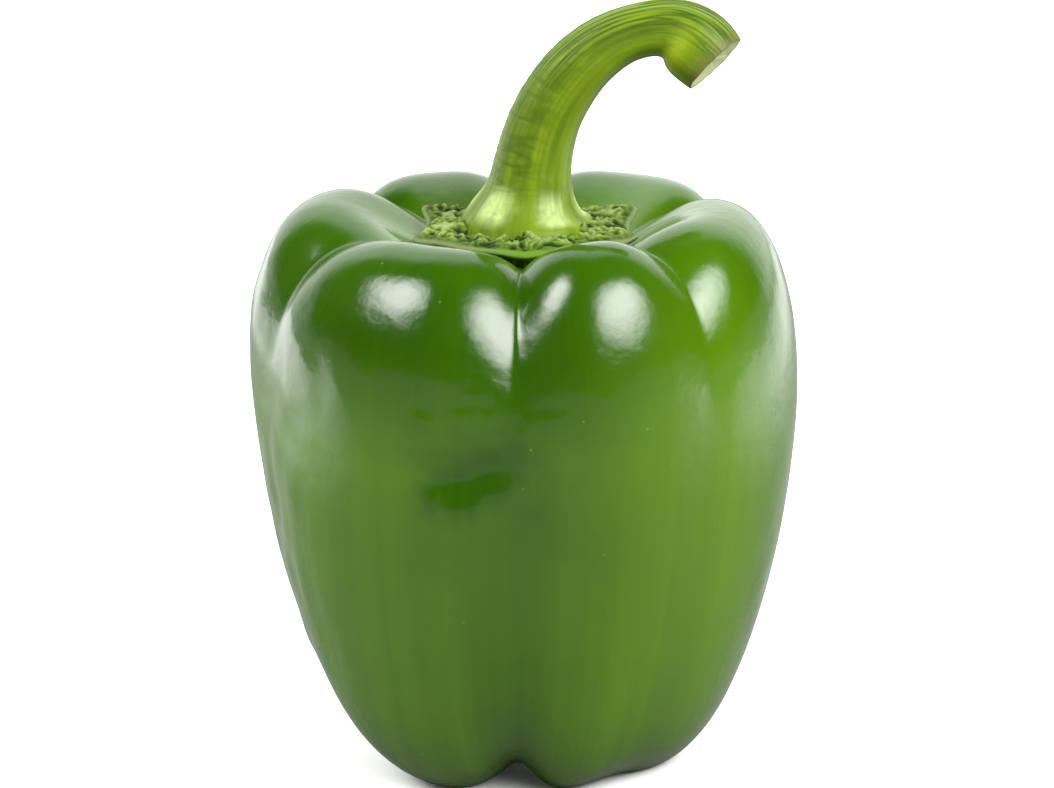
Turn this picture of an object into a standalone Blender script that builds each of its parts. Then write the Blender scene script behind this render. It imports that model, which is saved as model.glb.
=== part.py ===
"""Green bell pepper, standing upright on its lobes, as picked: fruit, calyx and cut stem.

Metres, +Z up. The origin is on the surface that the pepper stands on, below the middle of its outline,
and its front, the side with the deep middle crease, faces -Y.
"""

import math

import bmesh
import bpy
import numpy as np
from mathutils.bvhtree import BVHTree

# Middle of the outline seen from above, measured from the line through the crown and the blossom end
MIDDLE = (-0.0004, 0.0, 0.0)

# Fruit: overall size, and how much of each foot is pressed flat where it stands
FRUIT_RADIUS = 0.0420
FRUIT_HEIGHT = 0.0840
FRUIT_COLUMNS_PER_LOBE = 12
FRUIT_ROWS = 40
FOOT_LEVEL = 0.0007

# The meridian, from the crown to the blossom end, in shares of FRUIT_RADIUS and FRUIT_HEIGHT. Each row is a
# control point on a lobe's crest and its partner in the crease between two lobes, then how softly the crease
# is rounded there: 0 is a sharp fold and 1 is a gentle valley.
MERIDIAN = (
    (0.000, 0.945, 0.000, 0.945, 0.10),
    (0.170, 0.945, 0.150, 0.945, 0.10),
    (0.330, 0.950, 0.300, 0.945, 0.08),
    (0.470, 0.995, 0.430, 0.965, 0.06),
    (0.650, 1.045, 0.600, 0.980, 0.05),
    (0.860, 1.015, 0.770, 0.940, 0.05),
    (0.985, 0.885, 0.905, 0.845, 0.08),
    (1.020, 0.735, 0.945, 0.718, 0.18),
    (1.000, 0.570, 0.932, 0.565, 0.30),
    (0.940, 0.400, 0.880, 0.405, 0.35),
    (0.850, 0.240, 0.805, 0.255, 0.55),
    (0.720, 0.100, 0.660, 0.135, 0.40),
    (0.550, 0.015, 0.490, 0.072, 0.25),
    (0.370, -0.005, 0.330, 0.052, 0.18),
    (0.210, 0.045, 0.200, 0.062, 0.15),
    (0.090, 0.080, 0.090, 0.082, 0.15),
    (0.000, 0.085, 0.000, 0.085, 0.15),
)

# The creases, anticlockwise seen from above, each at the crown, the waist and the blossom end: their three
# directions in degrees, how deep they are beside MERIDIAN's, and how full the lobes stand beside them: 1 is a
# wide valley and 4 is a narrow fold
CREASES = (
    (267.0, 267.0, 265.0, 0.95, 0.90, 1.00, 4.0, 0.9, 2.4),  # front left to front right
    (319.0, 312.0, 318.0, 1.00, 0.36, 0.20, 2.0, 1.3, 1.5),  # front right to right
    (377.0, 395.0, 402.0, 1.00, 0.60, 0.90, 4.0, 2.7, 1.5),  # right to back right
    (450.0, 450.0, 450.0, 1.80, 0.50, 0.80, 1.3, 1.4, 1.5),  # back right to back left
    (505.0, 500.0, 500.0, 1.00, 0.60, 0.90, 2.5, 2.0, 1.5),  # back left to left
    (575.0, 552.0, 560.0, 0.80, 0.60, 1.00, 1.3, 1.4, 1.5),  # left to front left
)

# The lobes, each following the crease of the same row: reach beside FRUIT_RADIUS at the crown, the waist and
# the blossom end, and how far the shoulder and the foot lie above MERIDIAN's
LOBES = (
    # crown reach, waist reach, end reach, shoulder lift, foot lift
    (0.98, 1.000, 1.02, 0.0006, 0.0000),  # front right
    (1.04, 0.974, 1.07, 0.0004, -0.0010),  # right
    (1.14, 0.980, 0.95, -0.0009, 0.0000),  # back right
    (1.03, 0.970, 0.95, -0.0006, 0.0000),  # back left
    (1.17, 1.000, 1.04, 0.0000, 0.0040),  # left
    (0.98, 0.978, 1.29, -0.0010, 0.0000),  # front left
)
SHOULDER_AT, SHOULDER_SPAN = 0.27, 0.12
FOOT_AT, FOOT_SPAN = 0.80, 0.12

# Calyx: a crumpled disc on the crown whose corners point into the creases
CALYX_COLUMNS = 66
CALYX_ROWS = 18
CALYX_RADIUS = 0.0152
CALYX_TOP = 0.0830
CALYX_RIM = 0.0014
CALYX_OFF_SKIN = 0.0005
# The corners: their direction in degrees, how far they reach past CALYX_RADIUS, and how far they curl up
CALYX_CORNERS = (
    (268.0, 0.0002, -0.0004),
    (340.0, 0.0022, -0.0002),
    (387.0, 0.0030, 0.0014),
    (452.0, 0.0020, 0.0004),
    (510.0, 0.0026, 0.0014),
    (560.0, 0.0028, -0.0002),
)
CALYX_CORNER_SPAN = 11.0
# From the middle of the top, over the rim, to the middle of the underside: the share of the way out to the
# rim, and the share of the thickness
CALYX_SECTION = (
    (0.00, 1.0),
    (0.26, 1.0),
    (0.50, 1.0),
    (0.68, 1.0),
    (0.84, 1.0),
    (0.98, 1.0),
    (1.04, 0.5),
    (0.98, 0.0),
    (0.82, 0.0),
    (0.62, 0.0),
    (0.40, 0.0),
    (0.20, 0.0),
    (0.00, 0.0),
)
CALYX_FOLDS = 13
CALYX_FOLD_HEIGHT = 0.0003

# Stem: its centre line from the foot to the cut, with its radius, then its ribs
STEM_COLUMNS = 40
STEM_RINGS = 34
STEM_LINE = (
    # x, y, z, radius, rib height beside the radius
    (-0.0001, 0.0, 0.0835, 0.0090, 0.020),
    (-0.0001, 0.0, 0.0853, 0.0086, 0.050),
    (0.0002, 0.0, 0.0875, 0.0068, 0.050),
    (0.0005, 0.0, 0.0905, 0.0060, 0.030),
    (0.0014, 0.0, 0.0962, 0.0055, 0.030),
    (0.0036, 0.0, 0.1022, 0.0052, 0.030),
    (0.0081, 0.0, 0.1082, 0.0048, 0.040),
    (0.0133, 0.0, 0.1121, 0.0042, 0.045),
    (0.0189, 0.0, 0.1136, 0.0040, 0.045),
    (0.0223, -0.0003, 0.1133, 0.0048, 0.045),
    (0.0253, -0.0010, 0.1112, 0.0060, 0.035),
    (0.0282, -0.0022, 0.1084, 0.0053, 0.025),
)
STEM_RIBS = 5
STEM_RIB_DIRECTION = 229.0


def spline_weights(share):
    """The four weights of a uniform cubic B-spline at this share of a span."""
    left = 1 - share
    return (
        left**3 / 6,
        (3 * share**3 - 6 * share**2 + 4) / 6,
        (3 * left**3 - 6 * left**2 + 4) / 6,
        share**3 / 6,
    )


def along(rows, before, after, t):
    """Rows of control values read at t from 0 to 1, with one more row before the first and after the last."""
    spans = len(rows) - 1
    rows = np.vstack([before, rows, after])
    place = np.clip(t, 0, 1) * spans
    span = np.minimum(place.astype(int), spans - 1)
    weights = spline_weights(place - span)
    values = sum(w[..., None] * rows[span + i] for i, w in enumerate(weights))
    return np.moveaxis(values, -1, 0)


def pole_to_pole(rows, signs, t):
    """Rows that start and end on an axis, where the values marked -1, the radii, turn their sign."""
    rows = np.array(rows)
    return along(rows, rows[1] * signs, rows[-2] * signs, t)


def end_to_end(rows, t):
    """Rows whose curve starts at the first and ends at the last."""
    rows = np.array(rows)
    return along(rows, 2 * rows[0] - rows[1], 2 * rows[-1] - rows[-2], t)


def around(values, place):
    """Smooth closed curve through values, one at each whole place round the fruit."""
    values = np.array(values, float)
    count = len(values)
    knots = np.arange(count)
    through = np.zeros((count, count))
    for step, weight in zip((-1, 0, 1), (1 / 6, 4 / 6, 1 / 6)):
        through[knots, (knots + step) % count] += weight
    controls = np.linalg.solve(through, values)
    whole = np.floor(place).astype(int)
    weights = spline_weights(place - whole)
    return sum(w * controls[(whole + i - 1) % count] for i, w in enumerate(weights))


def three_levels(low, middle, high, t):
    """A parabola in t through a value at 0, at one half and at 1."""
    handle = 2 * middle - (low + high) / 2
    return (1 - t) ** 2 * low + 2 * t * (1 - t) * handle + t**2 * high


def fruit_surface(place, t):
    """Points of the skin. place counts lobes round the fruit, t runs from the crown, 0, to the end, 1."""
    creases = np.array(CREASES)
    count = len(creases)
    even = 360 / count
    drift = creases[:, :3] - creases[0, 0] - even * np.arange(count)[:, None]
    whole = np.floor(place)
    share = place - whole
    turn = creases[0, 0] + even * place + three_levels(*(around(drift[:, i], place) for i in range(3)), t)
    depth = three_levels(*(around(creases[:, i], place) for i in (3, 4, 5)), t)
    fold = three_levels(*(around(creases[:, i], place) for i in (6, 7, 8)), t)
    lobe = [around(np.array(LOBES)[:, i], place - 0.5) for i in range(5)]

    crest_r, crest_z, crease_r, crease_z, softness = pole_to_pole(MERIDIAN, (-1, 1, -1, 1, 1), t)
    bend = np.sin(np.pi * share)
    rise = (np.sqrt(bend**2 + softness**2) - softness) / (np.sqrt(1 + softness**2) - softness)
    fullness = 1 - depth * (1 - rise) ** fold
    radius = FRUIT_RADIUS * (crease_r + (crest_r - crease_r) * fullness)
    height = FRUIT_HEIGHT * (crease_z + (crest_z - crease_z) * fullness)
    radius = radius * three_levels(lobe[0], lobe[1], lobe[2], t)
    height = height + lobe[3] * np.exp(-(((t - SHOULDER_AT) / SHOULDER_SPAN) ** 2)) * fullness
    height = height + lobe[4] * np.exp(-(((t - FOOT_AT) / FOOT_SPAN) ** 2))
    turn = np.radians(turn)
    return np.stack(
        [radius * np.cos(turn), radius * np.sin(turn), np.maximum(height - FOOT_LEVEL, 0)], axis=-1
    )


def ball(name, columns, rows):
    """A ball whose points are about to be moved, with each point's turn, 0 to 1, and its t from pole to pole."""
    mesh = bpy.data.meshes.new(name)
    made = bmesh.new()
    bmesh.ops.create_uvsphere(made, u_segments=columns, v_segments=rows, radius=1)
    made.to_mesh(mesh)
    made.free()
    points = np.empty(len(mesh.vertices) * 3)
    mesh.vertices.foreach_get("co", points)
    points = points.reshape(-1, 3)
    turn = np.arctan2(points[:, 1], points[:, 0]) / (2 * math.pi)
    t = np.arccos(np.clip(points[:, 2], -1, 1)) / math.pi
    return mesh, np.round(turn * columns) / columns, np.round(t * rows) / rows


def crowd(place, share):
    """Moves columns towards the creases, where the surface bends most."""
    return place - share * np.sin(2 * math.pi * place) / (2 * math.pi)


def finish(mesh, points, material):
    """Puts the points into the mesh, measured from the pepper's middle, and stands it in the scene."""
    mesh.vertices.foreach_set("co", (points - MIDDLE).ravel())
    mesh.materials.append(material)
    mesh.shade_smooth()
    mesh.update()
    piece = bpy.data.objects.new(mesh.name, mesh)
    bpy.data.collections["bell_pepper"].objects.link(piece)
    return piece


def plain_material(name, colour, roughness):
    """A Principled material with one colour."""
    material = bpy.data.materials.new(name)
    material.use_nodes = True
    shader = material.node_tree.nodes["Principled BSDF"]
    shader.inputs["Base Color"].default_value = (*colour, 1)
    shader.inputs["Roughness"].default_value = roughness
    shader.inputs["Metallic"].default_value = 0
    return material


def build_fruit():
    """The fruit, one closed skin: crown, six lobes, and the feet round the blossom end."""
    lobes = len(LOBES)
    mesh, turn, t = ball("fruit", lobes * FRUIT_COLUMNS_PER_LOBE, FRUIT_ROWS)
    points = fruit_surface(crowd(turn * lobes, 0.45), t)
    return finish(mesh, points, plain_material("pepper_skin", (0.045, 0.16, 0.003), 0.2))


def skin_under(fruit, x, y):
    """Height of the fruit's crown under each of these places."""
    faces = [face.vertices for face in fruit.data.polygons]
    skin = BVHTree.FromPolygons([corner.co for corner in fruit.data.vertices], faces)
    above = np.stack([x, y, np.full(len(x), 2 * FRUIT_HEIGHT)], axis=-1) - MIDDLE
    hits = [skin.ray_cast(start, (0, 0, -1)) for start in above]
    return np.array([place.z for place, normal, face, distance in hits])


def build_calyx(fruit):
    """The calyx, whose underside follows the crown and whose rim stands clear over the creases."""
    mesh, turn, t = ball("calyx", CALYX_COLUMNS, CALYX_ROWS)
    out, level = pole_to_pole(CALYX_SECTION, (-1, 1), t)
    reach = np.full(len(turn), CALYX_RADIUS)
    curl = np.zeros(len(turn))
    for direction, longer, higher in CALYX_CORNERS:
        away = (360 * turn - direction + 180) % 360 - 180
        near = np.exp(-((away / CALYX_CORNER_SPAN) ** 2))
        reach = reach + longer * near
        curl = curl + higher * near
    angle = 2 * math.pi * turn
    x = out * reach * np.cos(angle)
    y = out * reach * np.sin(angle)
    under_limit = skin_under(fruit, x, y) + CALYX_OFF_SKIN
    open_air = np.clip((out - 0.60) / 0.25, 0, 1)
    fold = CALYX_FOLD_HEIGHT * np.sin(CALYX_FOLDS * angle) * open_air
    top = np.maximum(CALYX_TOP + curl * out**4 + fold, under_limit + CALYX_RIM)
    under = np.maximum(under_limit, top - CALYX_RIM - 0.006 * (1 - open_air))
    points = np.stack([x, y, under + (top - under) * level], axis=-1)
    return finish(mesh, points, plain_material("calyx_leaf", (0.14, 0.21, 0.045), 0.6))


def tube(name, columns, rings):
    """A closed cylinder whose points are about to be moved: each one's turn, share of the length, and share
    of the radius, which is 0 at the middles of the two ends."""
    mesh = bpy.data.meshes.new(name)
    made = bmesh.new()
    bmesh.ops.create_cone(
        made, cap_ends=True, cap_tris=True, segments=columns, radius1=1, radius2=1, depth=1
    )
    sides = [edge for edge in made.edges if abs(edge.verts[0].co.z - edge.verts[1].co.z) > 0.5]
    bmesh.ops.subdivide_edges(made, edges=sides, cuts=rings - 1, use_grid_fill=True)
    made.to_mesh(mesh)
    made.free()
    points = np.empty(len(mesh.vertices) * 3)
    mesh.vertices.foreach_get("co", points)
    points = points.reshape(-1, 3)
    angle = np.arctan2(points[:, 1], points[:, 0])
    return mesh, angle, points[:, 2] + 0.5, np.hypot(points[:, 0], points[:, 1])


def build_stem():
    """The stem, ribbed along its length, flared at its foot and thickened towards the cut."""
    mesh, angle, t, out = tube("stem", STEM_COLUMNS, STEM_RINGS)
    x, y, z, radius, rib = end_to_end(STEM_LINE, t)
    centre = np.stack([x, y, z], axis=-1)
    step = 0.001
    ahead = np.stack(end_to_end(STEM_LINE, t + step)[:3], axis=-1)
    behind = np.stack(end_to_end(STEM_LINE, t - step)[:3], axis=-1)
    forward = ahead - behind
    forward = forward / np.linalg.norm(forward, axis=-1, keepdims=True)
    across = np.cross((0.0, 1.0, 0.0), forward)
    across = across / np.linalg.norm(across, axis=-1, keepdims=True)
    along_y = np.cross(forward, across)
    waves = np.cos(STEM_RIBS * (angle - math.radians(STEM_RIB_DIRECTION)))
    from_line = (radius * (1 + rib * waves) * out)[:, None]
    points = centre + from_line * (np.cos(angle)[:, None] * across + np.sin(angle)[:, None] * along_y)
    return finish(mesh, points, plain_material("stem_green", (0.16, 0.28, 0.012), 0.45))


for leftover in list(bpy.data.objects):
    bpy.data.objects.remove(leftover)
bpy.context.scene.collection.children.link(bpy.data.collections.new("bell_pepper"))
build_calyx(build_fruit())
build_stem()
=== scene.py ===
import math

import bmesh
import bpy
import numpy as np
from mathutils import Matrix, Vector, noise


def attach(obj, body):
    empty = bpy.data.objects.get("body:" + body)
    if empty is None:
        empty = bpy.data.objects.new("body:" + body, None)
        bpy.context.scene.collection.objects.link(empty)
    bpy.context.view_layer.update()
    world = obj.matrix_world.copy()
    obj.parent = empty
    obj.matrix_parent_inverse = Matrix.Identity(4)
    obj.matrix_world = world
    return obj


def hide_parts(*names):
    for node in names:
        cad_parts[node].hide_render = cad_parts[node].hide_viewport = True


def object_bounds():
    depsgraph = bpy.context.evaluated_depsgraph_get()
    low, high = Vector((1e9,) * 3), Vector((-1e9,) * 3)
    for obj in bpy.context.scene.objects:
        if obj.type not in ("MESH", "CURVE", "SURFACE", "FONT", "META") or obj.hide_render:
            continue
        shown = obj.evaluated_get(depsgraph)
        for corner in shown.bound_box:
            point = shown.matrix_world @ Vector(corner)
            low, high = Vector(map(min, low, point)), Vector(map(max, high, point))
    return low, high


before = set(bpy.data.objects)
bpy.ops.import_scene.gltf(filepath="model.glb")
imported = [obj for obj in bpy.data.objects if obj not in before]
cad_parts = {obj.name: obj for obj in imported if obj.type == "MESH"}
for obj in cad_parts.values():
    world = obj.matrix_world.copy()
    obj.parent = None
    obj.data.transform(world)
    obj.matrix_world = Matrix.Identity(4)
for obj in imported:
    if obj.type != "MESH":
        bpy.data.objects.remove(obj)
cad_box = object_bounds()


# The fruit: one grown skin of six lobes with a waxy, glossy surface. Its crown sinks in the middle to the
# calyx, and it stands on the low ends of its lobes. All measures are in metres.

MIDDLE = (-0.0004, 0.0, 0.0)
FRUIT_RADIUS = 0.0420
FRUIT_HEIGHT = 0.0840
FOOT_LEVEL = 0.0007
SKIN_COLUMNS_PER_LOBE = 64
SKIN_ROWS = 240

# How much the mesh's columns crowd towards the creases, how short the fruit counts along its grain, which
# draws the streaks out, and how much less of the crown's colour the crests get than the creases
COLUMN_CROWDING = 0.45
GRAIN_LENGTH = 0.12
CREST_WITHOUT_CROWN = 0.5

# From the crown to the blossom end, in shares of the radius and the height: the crest of a lobe, the crease
# beside it, and how softly that crease is rounded
MERIDIAN = (
    (0.000, 0.945, 0.000, 0.945, 0.10),
    (0.170, 0.945, 0.150, 0.945, 0.10),
    (0.330, 0.950, 0.300, 0.945, 0.08),
    (0.470, 0.995, 0.430, 0.965, 0.06),
    (0.650, 1.045, 0.600, 0.980, 0.05),
    (0.860, 1.015, 0.770, 0.940, 0.05),
    (0.985, 0.885, 0.905, 0.845, 0.08),
    (1.020, 0.735, 0.945, 0.718, 0.18),
    (1.000, 0.570, 0.932, 0.565, 0.30),
    (0.940, 0.400, 0.880, 0.405, 0.35),
    (0.850, 0.240, 0.805, 0.255, 0.55),
    (0.720, 0.100, 0.660, 0.135, 0.40),
    (0.550, 0.015, 0.490, 0.072, 0.25),
    (0.370, -0.005, 0.330, 0.052, 0.18),
    (0.210, 0.045, 0.200, 0.062, 0.15),
    (0.090, 0.080, 0.090, 0.082, 0.15),
    (0.000, 0.085, 0.000, 0.085, 0.15),
)

# Each crease at the crown, the waist and the end: its three directions, its three depths, and three
# measures of how full the lobes stand beside it
CREASES = (
    (267.0, 267.0, 265.0, 0.95, 0.90, 1.00, 4.0, 0.9, 2.4),  # front left to front right
    (319.0, 312.0, 318.0, 1.00, 0.36, 0.20, 2.0, 1.3, 1.5),  # front right to right
    (377.0, 395.0, 402.0, 1.00, 0.60, 0.90, 4.0, 2.7, 1.5),  # right to back right
    (450.0, 450.0, 450.0, 1.80, 0.50, 0.80, 1.3, 1.4, 1.5),  # back right to back left
    (505.0, 500.0, 500.0, 1.00, 0.60, 0.90, 2.5, 2.0, 1.5),  # back left to left
    (575.0, 552.0, 560.0, 0.80, 0.60, 1.00, 1.3, 1.4, 1.5),  # left to front left
)

# Each lobe: its reach at the crown, the waist and the end, and the lift of its shoulder and of its foot
LOBES = (
    (0.98, 1.000, 1.02, 0.0006, 0.0000),  # front right
    (1.04, 0.974, 1.07, 0.0004, -0.0010),  # right
    (1.14, 0.980, 0.95, -0.0009, 0.0000),  # back right
    (1.03, 0.970, 0.95, -0.0006, 0.0000),  # back left
    (1.17, 1.000, 1.04, 0.0000, 0.0040),  # left
    (0.98, 0.978, 1.29, -0.0010, 0.0000),  # front left
)
SHOULDER_AT, SHOULDER_SPAN = 0.27, 0.12
FOOT_AT, FOOT_SPAN = 0.80, 0.12

# Shallow hollows and one low bulge in the front of the skin: where, half the width and height, and how deep
HOLLOWS = (
    (-0.0108, 0.0538, 0.0056, 0.0036, 0.00165),
    (-0.0046, 0.0562, 0.0042, 0.0027, 0.00100),
    (-0.0035, 0.0600, 0.0018, 0.0022, 0.00030),
    (-0.0160, 0.0650, 0.0050, 0.0020, 0.00025),
    (0.0015, 0.0570, 0.0065, 0.0085, -0.00050),
)
HOLLOW_GRAIN, HOLLOW_ROUGH = 0.0026, 0.08

# Painted shade makes the skin darker under the middle of each hollow: how far under, the depth that darkens
# it fully, how broken that patch is, and how much of its faint edge is left off
SHADE_DROP, SHADE_DEPTH = 0.0026, 0.0010
SHADE_BROKEN, SHADE_EDGE = 0.6, 0.15

# Smooth relief on the sides of the fruit, with the size of its lumps, how upright or flat they lie, and
# their height: a broad swell, a ripple that grows on the creased left side, and a belt of dimples across
# the front and the back
SWELL_SIZE, SWELL_LIE, SWELL_HEIGHT = 0.022, 0.45, 0.00040
RIPPLE_SIZE, RIPPLE_LIE, RIPPLE_HEIGHT = 0.0055, 0.70, 0.00010
CREASED_FROM, CREASED_TO, CREASED_HEIGHT = -0.025, -0.033, 0.00024
DIMPLE_SIZE, DIMPLE_LIE, DIMPLE_HEIGHT = 0.0034, 1.80, 0.00017
BELT_LEVEL, BELT_SPAN = 0.061, 0.009
BELT_FULL, BELT_END = 0.014, 0.022
SKIN_LOWERED = 0.00015

# Where the relief starts and ends, and where the crown's colour ends, from the crown, 0, to the end, 1
RELIEF_TOP = (0.30, 0.38)
RELIEF_LOW = (0.70, 0.62)
CROWN_EDGE = (0.24, 0.14)


def spline_weights(share):
    """The four weights of a uniform cubic B-spline at this share of a span."""
    left = 1 - share
    return (
        left**3 / 6,
        (3 * share**3 - 6 * share**2 + 4) / 6,
        (3 * left**3 - 6 * left**2 + 4) / 6,
        share**3 / 6,
    )


def along(rows, before, after, t):
    """Rows of control values read at t from 0 to 1, with a row more before the first and after the last."""
    spans = len(rows) - 1
    rows = np.vstack([before, rows, after])
    place = np.clip(t, 0, 1) * spans
    span = np.minimum(place.astype(int), spans - 1)
    weights = spline_weights(place - span)
    values = sum(w[..., None] * rows[span + i] for i, w in enumerate(weights))
    return np.moveaxis(values, -1, 0)


def pole_to_pole(rows, signs, t):
    """Rows that start and end on an axis, where the values marked -1, the radii, turn their sign."""
    rows = np.array(rows)
    return along(rows, rows[1] * signs, rows[-2] * signs, t)


def around(values, place):
    """Smooth closed curve through values, one at each whole place round the fruit."""
    values = np.array(values, float)
    count = len(values)
    knots = np.arange(count)
    through = np.zeros((count, count))
    for step, weight in zip((-1, 0, 1), (1 / 6, 4 / 6, 1 / 6)):
        through[knots, (knots + step) % count] += weight
    controls = np.linalg.solve(through, values)
    whole = np.floor(place).astype(int)
    weights = spline_weights(place - whole)
    return sum(w * controls[(whole + i - 1) % count] for i, w in enumerate(weights))


def three_levels(low, middle, high, t):
    """A parabola in t through a value at 0, at one half and at 1."""
    handle = 2 * middle - (low + high) / 2
    return (1 - t) ** 2 * low + 2 * t * (1 - t) * handle + t**2 * high


def fade(value, start, end):
    """How far the value has come on its way from start to end, from 0 to 1."""
    return np.clip((value - start) / (end - start), 0, 1)


def hump(value, middle, span):
    """1 at the middle, falling smoothly to nothing a little more than a span away."""
    return np.exp(-(((value - middle) / span) ** 2))


def fruit_surface(place, t):
    """Points of the skin and how far each stands out of its crease, up to 1. place counts lobes round the
    fruit, and t runs from the crown, 0, to the blossom end, 1."""
    creases = np.array(CREASES)
    count = len(creases)
    even = 360 / count
    drift = creases[:, :3] - creases[0, 0] - even * np.arange(count)[:, None]
    share = place - np.floor(place)
    turn = creases[0, 0] + even * place + three_levels(*(around(drift[:, i], place) for i in range(3)), t)
    depth = three_levels(*(around(creases[:, i], place) for i in (3, 4, 5)), t)
    fold = three_levels(*(around(creases[:, i], place) for i in (6, 7, 8)), t)
    lobe = [around(np.array(LOBES)[:, i], place - 0.5) for i in range(5)]

    crest_r, crest_z, crease_r, crease_z, softness = pole_to_pole(MERIDIAN, (-1, 1, -1, 1, 1), t)
    bend = np.sin(np.pi * share)
    rise = (np.sqrt(bend**2 + softness**2) - softness) / (np.sqrt(1 + softness**2) - softness)
    fullness = 1 - depth * (1 - rise) ** fold
    radius = FRUIT_RADIUS * (crease_r + (crest_r - crease_r) * fullness)
    height = FRUIT_HEIGHT * (crease_z + (crest_z - crease_z) * fullness)
    radius = radius * three_levels(lobe[0], lobe[1], lobe[2], t)
    height = height + lobe[3] * hump(t, SHOULDER_AT, SHOULDER_SPAN) * fullness
    height = height + lobe[4] * hump(t, FOOT_AT, FOOT_SPAN)
    turn = np.radians(turn)
    points = [radius * np.cos(turn), radius * np.sin(turn), np.maximum(height - FOOT_LEVEL, 0)]
    return np.stack(points, axis=-1), fullness


def ball(name, columns, rows):
    """A ball whose points are to be moved, with how far round each point is, in turns, and its t from pole
    to pole."""
    mesh = bpy.data.meshes.new(name)
    made = bmesh.new()
    bmesh.ops.create_uvsphere(made, u_segments=columns, v_segments=rows, radius=1)
    made.to_mesh(mesh)
    made.free()
    points = np.empty(len(mesh.vertices) * 3)
    mesh.vertices.foreach_get("co", points)
    points = points.reshape(-1, 3)
    turn = np.arctan2(points[:, 1], points[:, 0]) / (2 * math.pi)
    t = np.arccos(np.clip(points[:, 2], -1, 1)) / math.pi
    return mesh, np.round(turn * columns) / columns, np.round(t * rows) / rows


def crowd(place, share):
    """Moves columns towards the creases, where the surface bends most."""
    return place - share * np.sin(2 * math.pi * place) / (2 * math.pi)


def set_points(mesh, points):
    """Moves the mesh's points, given from the line through crown and blossom end, inside the solid model's
    box, and returns the mesh's normals."""
    mesh.vertices.foreach_set("co", np.clip(points - MIDDLE, *cad_box).ravel())
    mesh.update()
    normals = np.empty(len(mesh.vertices) * 3)
    mesh.vertex_normals.foreach_get("vector", normals)
    return normals.reshape(-1, 3)


def paint(mesh, name, kind, values):
    """Keeps a number or a vector at each point for the material to read."""
    field = "vector" if kind == "FLOAT_VECTOR" else "value"
    mesh.attributes.new(name, kind, "POINT").data.foreach_set(field, np.ascontiguousarray(values).ravel())


def unevenness(points, size, seed):
    """Smooth noise between -1 and 1 at each point, with lumps of about this size."""
    return np.array([noise.noise(Vector(p) / size + Vector((seed, 0, 0))) for p in points])


def stand(mesh, material, node):
    """Shows the mesh as the piece that stands for a node of the solid model."""
    mesh.materials.append(material)
    mesh.shade_smooth()
    piece = bpy.data.objects.new(mesh.name, mesh)
    bpy.context.scene.collection.objects.link(piece)
    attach(piece, "root")
    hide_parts(node)


def join(tree, socket, value):
    """Joins an input to another node's output, or sets it to a number, a vector or a colour."""
    if isinstance(value, bpy.types.NodeSocket):
        tree.links.new(value, socket)
    elif socket.type == "RGBA":
        socket.default_value = (*value, 1)
    else:
        socket.default_value = value


def add(tree, kind, settings=(), **inputs):
    """A shader node with these settings and inputs."""
    made = tree.nodes.new(kind)
    for name, value in dict(settings).items():
        setattr(made, name, value)
    for name, value in inputs.items():
        join(tree, made.inputs[name.replace("_", " ")], value)
    return made


def calculate(tree, operation, *values):
    """The result of one Math node. MULTIPLY_ADD gives the first times the second plus the third."""
    made = add(tree, "ShaderNodeMath", {"operation": operation})
    for socket, value in zip(made.inputs, values):
        join(tree, socket, value)
    return made.outputs["Value"]


def times(tree, product, *others):
    """The product of all these values."""
    for other in others:
        product = calculate(tree, "MULTIPLY", product, other)
    return product


def ramp(tree, value, low, high):
    """The value's place between low and high, from 0 to 1 and smooth at both ends."""
    settings = {"interpolation_type": "SMOOTHSTEP"}
    made = add(tree, "ShaderNodeMapRange", settings, Value=value, From_Min=low, From_Max=high)
    return made.outputs["Result"]


def between(tree, share, low, high):
    """The value at this share of the way from low to high."""
    return add(tree, "ShaderNodeMapRange", Value=share, To_Min=low, To_Max=high).outputs["Result"]


# A Mix node's sockets for its factor and its two colours, and for the colour that it gives. It has others
# for numbers and vectors.
MIX_INPUTS, MIX_OUTPUT = (0, 6, 7), 2


def blend(tree, mask, first, second):
    """A colour that goes from the first to the second as the mask goes from 0 to 1."""
    made = add(tree, "ShaderNodeMix", {"data_type": "RGBA"})
    for socket, value in zip(MIX_INPUTS, (mask, first, second)):
        join(tree, made.inputs[socket], value)
    return made.outputs[MIX_OUTPUT]


def layered(tree, colour, *layers):
    """A colour with others laid over it in turn, each given by its share, where it shows and its colour."""
    for share, mask, over in layers:
        colour = blend(tree, times(tree, mask, share), colour, over)
    return colour


def soft_noise(tree, place, scale, detail):
    """Cloudy noise from 0 to 1 with about this many lumps to a metre."""
    return add(tree, "ShaderNodeTexNoise", Vector=place, Scale=scale, Detail=detail).outputs["Fac"]


def painted(tree, name, output="Fac"):
    """What paint kept at the mesh's points under this name."""
    return add(tree, "ShaderNodeAttribute", {"attribute_name": name}).outputs[output]


def relief(tree, height, strength, depth, **under):
    """The normal of a fine relief, on top of another one where Normal is given."""
    bump = add(tree, "ShaderNodeBump", Height=height, Strength=strength, Distance=depth, **under)
    return bump.outputs["Normal"]


def group(name, inputs, output):
    """An empty node group with number or vector inputs and one number output, and its tree and sockets."""
    made = bpy.data.node_groups.new(name, "ShaderNodeTree")
    for label, kind in inputs.items():
        made.interface.new_socket(label, in_out="INPUT", socket_type=kind)
    made.interface.new_socket(output, in_out="OUTPUT", socket_type="NodeSocketFloat")
    return made, made.nodes.new("NodeGroupInput").outputs, made.nodes.new("NodeGroupOutput").inputs[output]


def use(tree, made, **inputs):
    """Places a node group in a material and returns its output."""
    return add(tree, "ShaderNodeGroup", {"node_tree": made}, **inputs).outputs[0]


NUMBER_SOCKET = "NodeSocketFloat"
VECTOR_SOCKET = "NodeSocketVector"


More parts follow.
